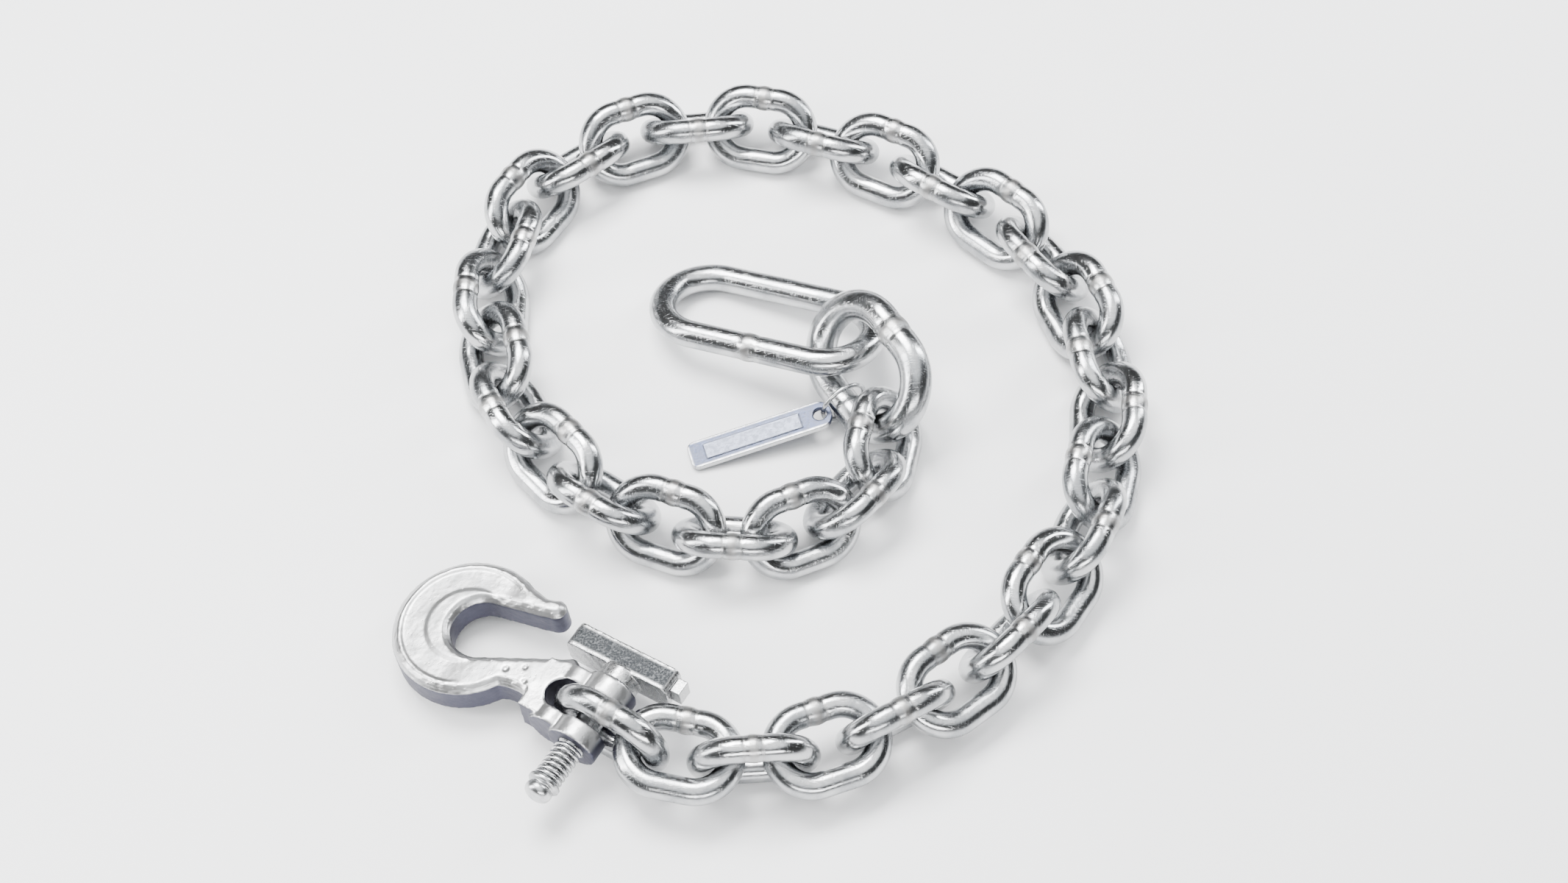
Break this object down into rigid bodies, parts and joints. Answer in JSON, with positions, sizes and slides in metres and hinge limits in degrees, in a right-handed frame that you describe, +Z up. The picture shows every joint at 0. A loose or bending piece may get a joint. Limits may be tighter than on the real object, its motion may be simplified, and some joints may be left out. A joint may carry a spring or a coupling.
{
  "type": "chain leg with clevis grab hook",
  "caption": "Short-link steel chain wound in a flat coil, with a clevis grab hook and spring pin latch at one end and an oval master link with a tag at the other.",
  "frame": {"origin": "centre of the bounding box in plan, on the floor that the coil lies on", "axes": "+Z up from the floor; +Y from the hook side of the coil towards the far side; +X to the right seen from the hook side"},
  "size_m": [0.2843, 0.3234, 0.0456],
  "materials": {
    "chain_steel": "bright tumbled",
    "link_steel": "bright tumbled",
    "hook_steel": "bright tumbled forging",
    "pin_steel": "bright machined",
    "spring_steel": "drawn wire",
    "ring_steel": "drawn wire",
    "tag_steel": "satin"
  },
  "bodies": {
    "master_link": {"master_link": "link_steel"},
    "coupling_link": {"coupling_link": "link_steel"},
    "tag_ring": {"tag_ring": "ring_steel"},
    "tag": {"tag": "tag_steel"},
    "link_34": {"link_34": "chain_steel"},
    "link_33": {"link_33": "chain_steel"},
    "link_32": {"link_32": "chain_steel"},
    "link_31": {"link_31": "chain_steel"},
    "link_30": {"link_30": "chain_steel"},
    "link_29": {"link_29": "chain_steel"},
    "link_28": {"link_28": "chain_steel"},
    "link_27": {"link_27": "chain_steel"},
    "link_26": {"link_26": "chain_steel"},
    "link_25": {"link_25": "chain_steel"},
    "link_24": {"link_24": "chain_steel"},
    "link_23": {"link_23": "chain_steel"},
    "link_22": {"link_22": "chain_steel"},
    "link_21": {"link_21": "chain_steel"},
    "link_20": {"link_20": "chain_steel"},
    "link_19": {"link_19": "chain_steel"},
    "link_18": {"link_18": "chain_steel"},
    "link_17": {"link_17": "chain_steel"},
    "link_16": {"link_16": "chain_steel"},
    "link_15": {"link_15": "chain_steel"},
    "link_14": {"link_14": "chain_steel"},
    "link_13": {"link_13": "chain_steel"},
    "link_12": {"link_12": "chain_steel"},
    "link_11": {"link_11": "chain_steel"},
    "link_10": {"link_10": "chain_steel"},
    "link_09": {"link_09": "chain_steel"},
    "link_08": {"link_08": "chain_steel"},
    "link_07": {"link_07": "chain_steel"},
    "link_06": {"link_06": "chain_steel"},
    "link_05": {"link_05": "chain_steel"},
    "link_04": {"link_04": "chain_steel"},
    "link_03": {"link_03": "chain_steel"},
    "link_02": {"link_02": "chain_steel"},
    "link_01": {"link_01": "chain_steel"},
    "hook": {"hook_body": "hook_steel", "pin_spring": "spring_steel"},
    "pin": {"clevis_pin": "pin_steel", "pin_cap": "pin_steel"},
    "latch": {"latch_bar": "pin_steel", "latch_stub": "pin_steel"}
  },
  "joints": [
    {"name": "coupling_swing", "type": "hinge", "parent": "master_link", "child": "coupling_link", "pos_m": [0.03604, 0.03425, 0.01929], "axis": [-0.3603, -0.8918, 0.2736], "range_deg": [-8, 40]},
    {"name": "link_34_swing", "type": "hinge", "parent": "coupling_link", "child": "link_34", "pos_m": [0.04852, -0.00267, 0.02369], "axis": [-0.5104, -0.3189, -0.7986], "range_deg": [-20, 7]},
    {"name": "link_33_swing", "type": "hinge", "parent": "link_34", "child": "link_33", "pos_m": [0.03589, -0.02823, 0.01419], "axis": [0.689, -0.1591, -0.7071], "range_deg": [-40, 24]},
    {"name": "link_32_swing", "type": "hinge", "parent": "link_33", "child": "link_32", "pos_m": [0.01667, -0.0469, 0.01419], "axis": [0.5417, -0.4545, 0.7071], "range_deg": [-40, 40]},
    {"name": "link_31_swing", "type": "hinge", "parent": "link_32", "child": "link_31", "pos_m": [-0.00893, -0.0548, 0.01419], "axis": [-0.2763, 0.6509, 0.7071], "range_deg": [-29, 40]},
    {"name": "link_30_swing", "type": "hinge", "parent": "link_31", "child": "link_30", "pos_m": [-0.03533, -0.05023, 0.01419], "axis": [0.0493, 0.7054, -0.7071], "range_deg": [-40, 40]},
    {"name": "link_29_swing", "type": "hinge", "parent": "link_30", "child": "link_29", "pos_m": [-0.06024, -0.03953, 0.01419], "axis": [-0.2418, -0.6645, -0.7071], "range_deg": [-40, 40]},
    {"name": "link_28_swing", "type": "hinge", "parent": "link_29", "child": "link_28", "pos_m": [-0.08197, -0.02326, 0.01419], "axis": [-0.3954, -0.5862, 0.7071], "range_deg": [-40, 40]},
    {"name": "link_27_swing", "type": "hinge", "parent": "link_28", "child": "link_27", "pos_m": [-0.09912, -0.00221, 0.01419], "axis": [0.5255, 0.4731, 0.7071], "range_deg": [-40, 40]},
    {"name": "link_26_swing", "type": "hinge", "parent": "link_27", "child": "link_26", "pos_m": [-0.11067, 0.02236, 0.01419], "axis": [0.6243, 0.332, -0.7071], "range_deg": [-40, 40]},
    {"name": "link_25_swing", "type": "hinge", "parent": "link_26", "child": "link_25", "pos_m": [-0.11593, 0.04899, 0.01419], "axis": [-0.6861, -0.1711, -0.7071], "range_deg": [-40, 38]},
    {"name": "link_24_swing", "type": "hinge", "parent": "link_25", "child": "link_24", "pos_m": [-0.1146, 0.07611, 0.01419], "axis": [-0.7071, 0, 0.7071], "range_deg": [-32, 40]},
    {"name": "link_23_swing", "type": "hinge", "parent": "link_24", "child": "link_23", "pos_m": [-0.10674, 0.10209, 0.01419], "axis": [0.6861, -0.1711, 0.7071], "range_deg": [-31, 40]},
    {"name": "link_22_swing", "type": "hinge", "parent": "link_23", "child": "link_22", "pos_m": [-0.09051, 0.1237, 0.01419], "axis": [0.593, -0.3851, -0.7071], "range_deg": [-40, 28]},
    {"name": "link_21_swing", "type": "hinge", "parent": "link_22", "child": "link_21", "pos_m": [-0.06812, 0.13885, 0.01419], "axis": [-0.4353, 0.5572, -0.7071], "range_deg": [-40, 31]},
    {"name": "link_20_swing", "type": "hinge", "parent": "link_21", "child": "link_20", "pos_m": [-0.04245, 0.14756, 0.01419], "axis": [-0.2649, 0.6556, 0.7071], "range_deg": [-28, 40]},
    {"name": "link_19_swing", "type": "hinge", "parent": "link_20", "child": "link_19", "pos_m": [-0.01538, 0.14886, 0.01419], "axis": [0.0739, -0.7032, 0.7071], "range_deg": [-40, 40]},
    {"name": "link_18_swing", "type": "hinge", "parent": "link_19", "child": "link_18", "pos_m": [0.011, 0.14265, 0.01419], "axis": [-0.1228, -0.6964, -0.7071], "range_deg": [-40, 32]},
    {"name": "link_17_swing", "type": "hinge", "parent": "link_18", "child": "link_17", "pos_m": [0.03668, 0.13352, 0.01419], "axis": [0.2185, 0.6725, -0.7071], "range_deg": [-40, 40]},
    {"name": "link_16_swing", "type": "hinge", "parent": "link_17", "child": "link_16", "pos_m": [0.06083, 0.1209, 0.01419], "axis": [0.31, 0.6355, 0.7071], "range_deg": [-36, 40]},
    {"name": "link_15_swing", "type": "hinge", "parent": "link_16", "child": "link_15", "pos_m": [0.08299, 0.10504, 0.01419], "axis": [-0.3954, -0.5862, 0.7071], "range_deg": [-36, 40]},
    {"name": "link_14_swing", "type": "hinge", "parent": "link_15", "child": "link_14", "pos_m": [0.10273, 0.08626, 0.01419], "axis": [-0.4731, -0.5255, -0.7071], "range_deg": [-40, 35]},
    {"name": "link_13_swing", "type": "hinge", "parent": "link_14", "child": "link_13", "pos_m": [0.11728, 0.06332, 0.01419], "axis": [0.5792, 0.4056, -0.7071], "range_deg": [-40, 34]},
    {"name": "link_12_swing", "type": "hinge", "parent": "link_13", "child": "link_12", "pos_m": [0.1263, 0.03769, 0.01419], "axis": [0.6556, 0.2649, 0.7071], "range_deg": [-23, 40]},
    {"name": "link_11_swing", "type": "hinge", "parent": "link_12", "child": "link_11", "pos_m": [0.12933, 0.01069, 0.01419], "axis": [-0.6984, -0.1106, 0.7071], "range_deg": [-17, 40]},
    {"name": "link_10_swing", "type": "hinge", "parent": "link_11", "child": "link_10", "pos_m": [0.1262, -0.0163, 0.01419], "axis": [-0.7054, 0.0493, -0.7071], "range_deg": [-22, 16]},
    {"name": "link_09_swing", "type": "hinge", "parent": "link_10", "child": "link_09", "pos_m": [0.1187, -0.04247, 0.01489], "axis": [0.7378, -0.184, -0.6494], "range_deg": [-40, 15]},
    {"name": "link_08_swing", "type": "hinge", "parent": "link_09", "child": "link_08", "pos_m": [0.10677, -0.06694, 0.01552], "axis": [0.537, -0.2391, 0.809], "range_deg": [-12, 40]},
    {"name": "link_07_swing", "type": "hinge", "parent": "link_08", "child": "link_07", "pos_m": [0.09078, -0.08896, 0.01608], "axis": [-0.7069, 0.4768, 0.5225], "range_deg": [-40, 40]},
    {"name": "link_06_swing", "type": "hinge", "parent": "link_07", "child": "link_06", "pos_m": [0.07159, -0.10829, 0.01658], "axis": [-0.332, 0.3096, -0.891], "range_deg": [-40, 11]},
    {"name": "link_05_swing", "type": "hinge", "parent": "link_06", "child": "link_05", "pos_m": [0.04962, -0.12438, 0.01701], "axis": [0.5688, -0.728, -0.3827], "range_deg": [-40, 40]},
    {"name": "link_04_swing", "type": "hinge", "parent": "link_05", "child": "link_04", "pos_m": [0.0254, -0.13684, 0.01736], "axis": [0.1498, -0.2703, 0.9511], "range_deg": [-11, 40]},
    {"name": "link_03_swing", "type": "hinge", "parent": "link_04", "child": "link_03", "pos_m": [-0.00047, -0.14536, 0.01764], "axis": [-0.3326, 0.9137, 0.2334], "range_deg": [-40, 40]},
    {"name": "link_02_swing", "type": "hinge", "parent": "link_03", "child": "link_02", "pos_m": [-0.02758, -0.14571, 0.01784], "axis": [-0.0109, 0.1561, -0.9877], "range_deg": [-40, 17]},
    {"name": "link_01_swing", "type": "hinge", "parent": "link_02", "child": "link_01", "pos_m": [-0.05373, -0.13858, 0.01796], "axis": [-0.2073, -0.9751, -0.0785], "range_deg": [-40, 6]},
    {"name": "hook_swing", "type": "hinge", "parent": "link_01", "child": "hook", "pos_m": [-0.06646, -0.12832, 0.018], "axis": [-0.5299, -0.848, 0], "range_deg": [-60, 60]},
    {"name": "pin_push", "type": "slide", "parent": "hook", "child": "pin", "axis": [0.5299, 0.848, 0], "range_m": [0, 0.006], "stiffness_N_per_m": 900, "springref_m": -0.002, "deforming": ["pin_spring"]},
    {"name": "latch_turn", "type": "hinge", "parent": "pin", "child": "latch", "pos_m": [-0.06646, -0.12832, 0.018], "axis": [-0.5299, -0.848, 0], "range_deg": [0, 90]},
    {"name": "tag_ring_swing", "type": "hinge", "parent": "coupling_link", "child": "tag_ring", "pos_m": [0.02584, 0.01234, 0.00872], "axis": [-0.5299, 0.848, 0], "range_deg": [-29, 29]},
    {"name": "tag_swing", "type": "hinge", "parent": "tag_ring", "child": "tag", "pos_m": [0.01732, 0.00701, 0.00957], "axis": [-0.5299, 0.848, 0], "range_deg": [-1, 11]}
  ]
}
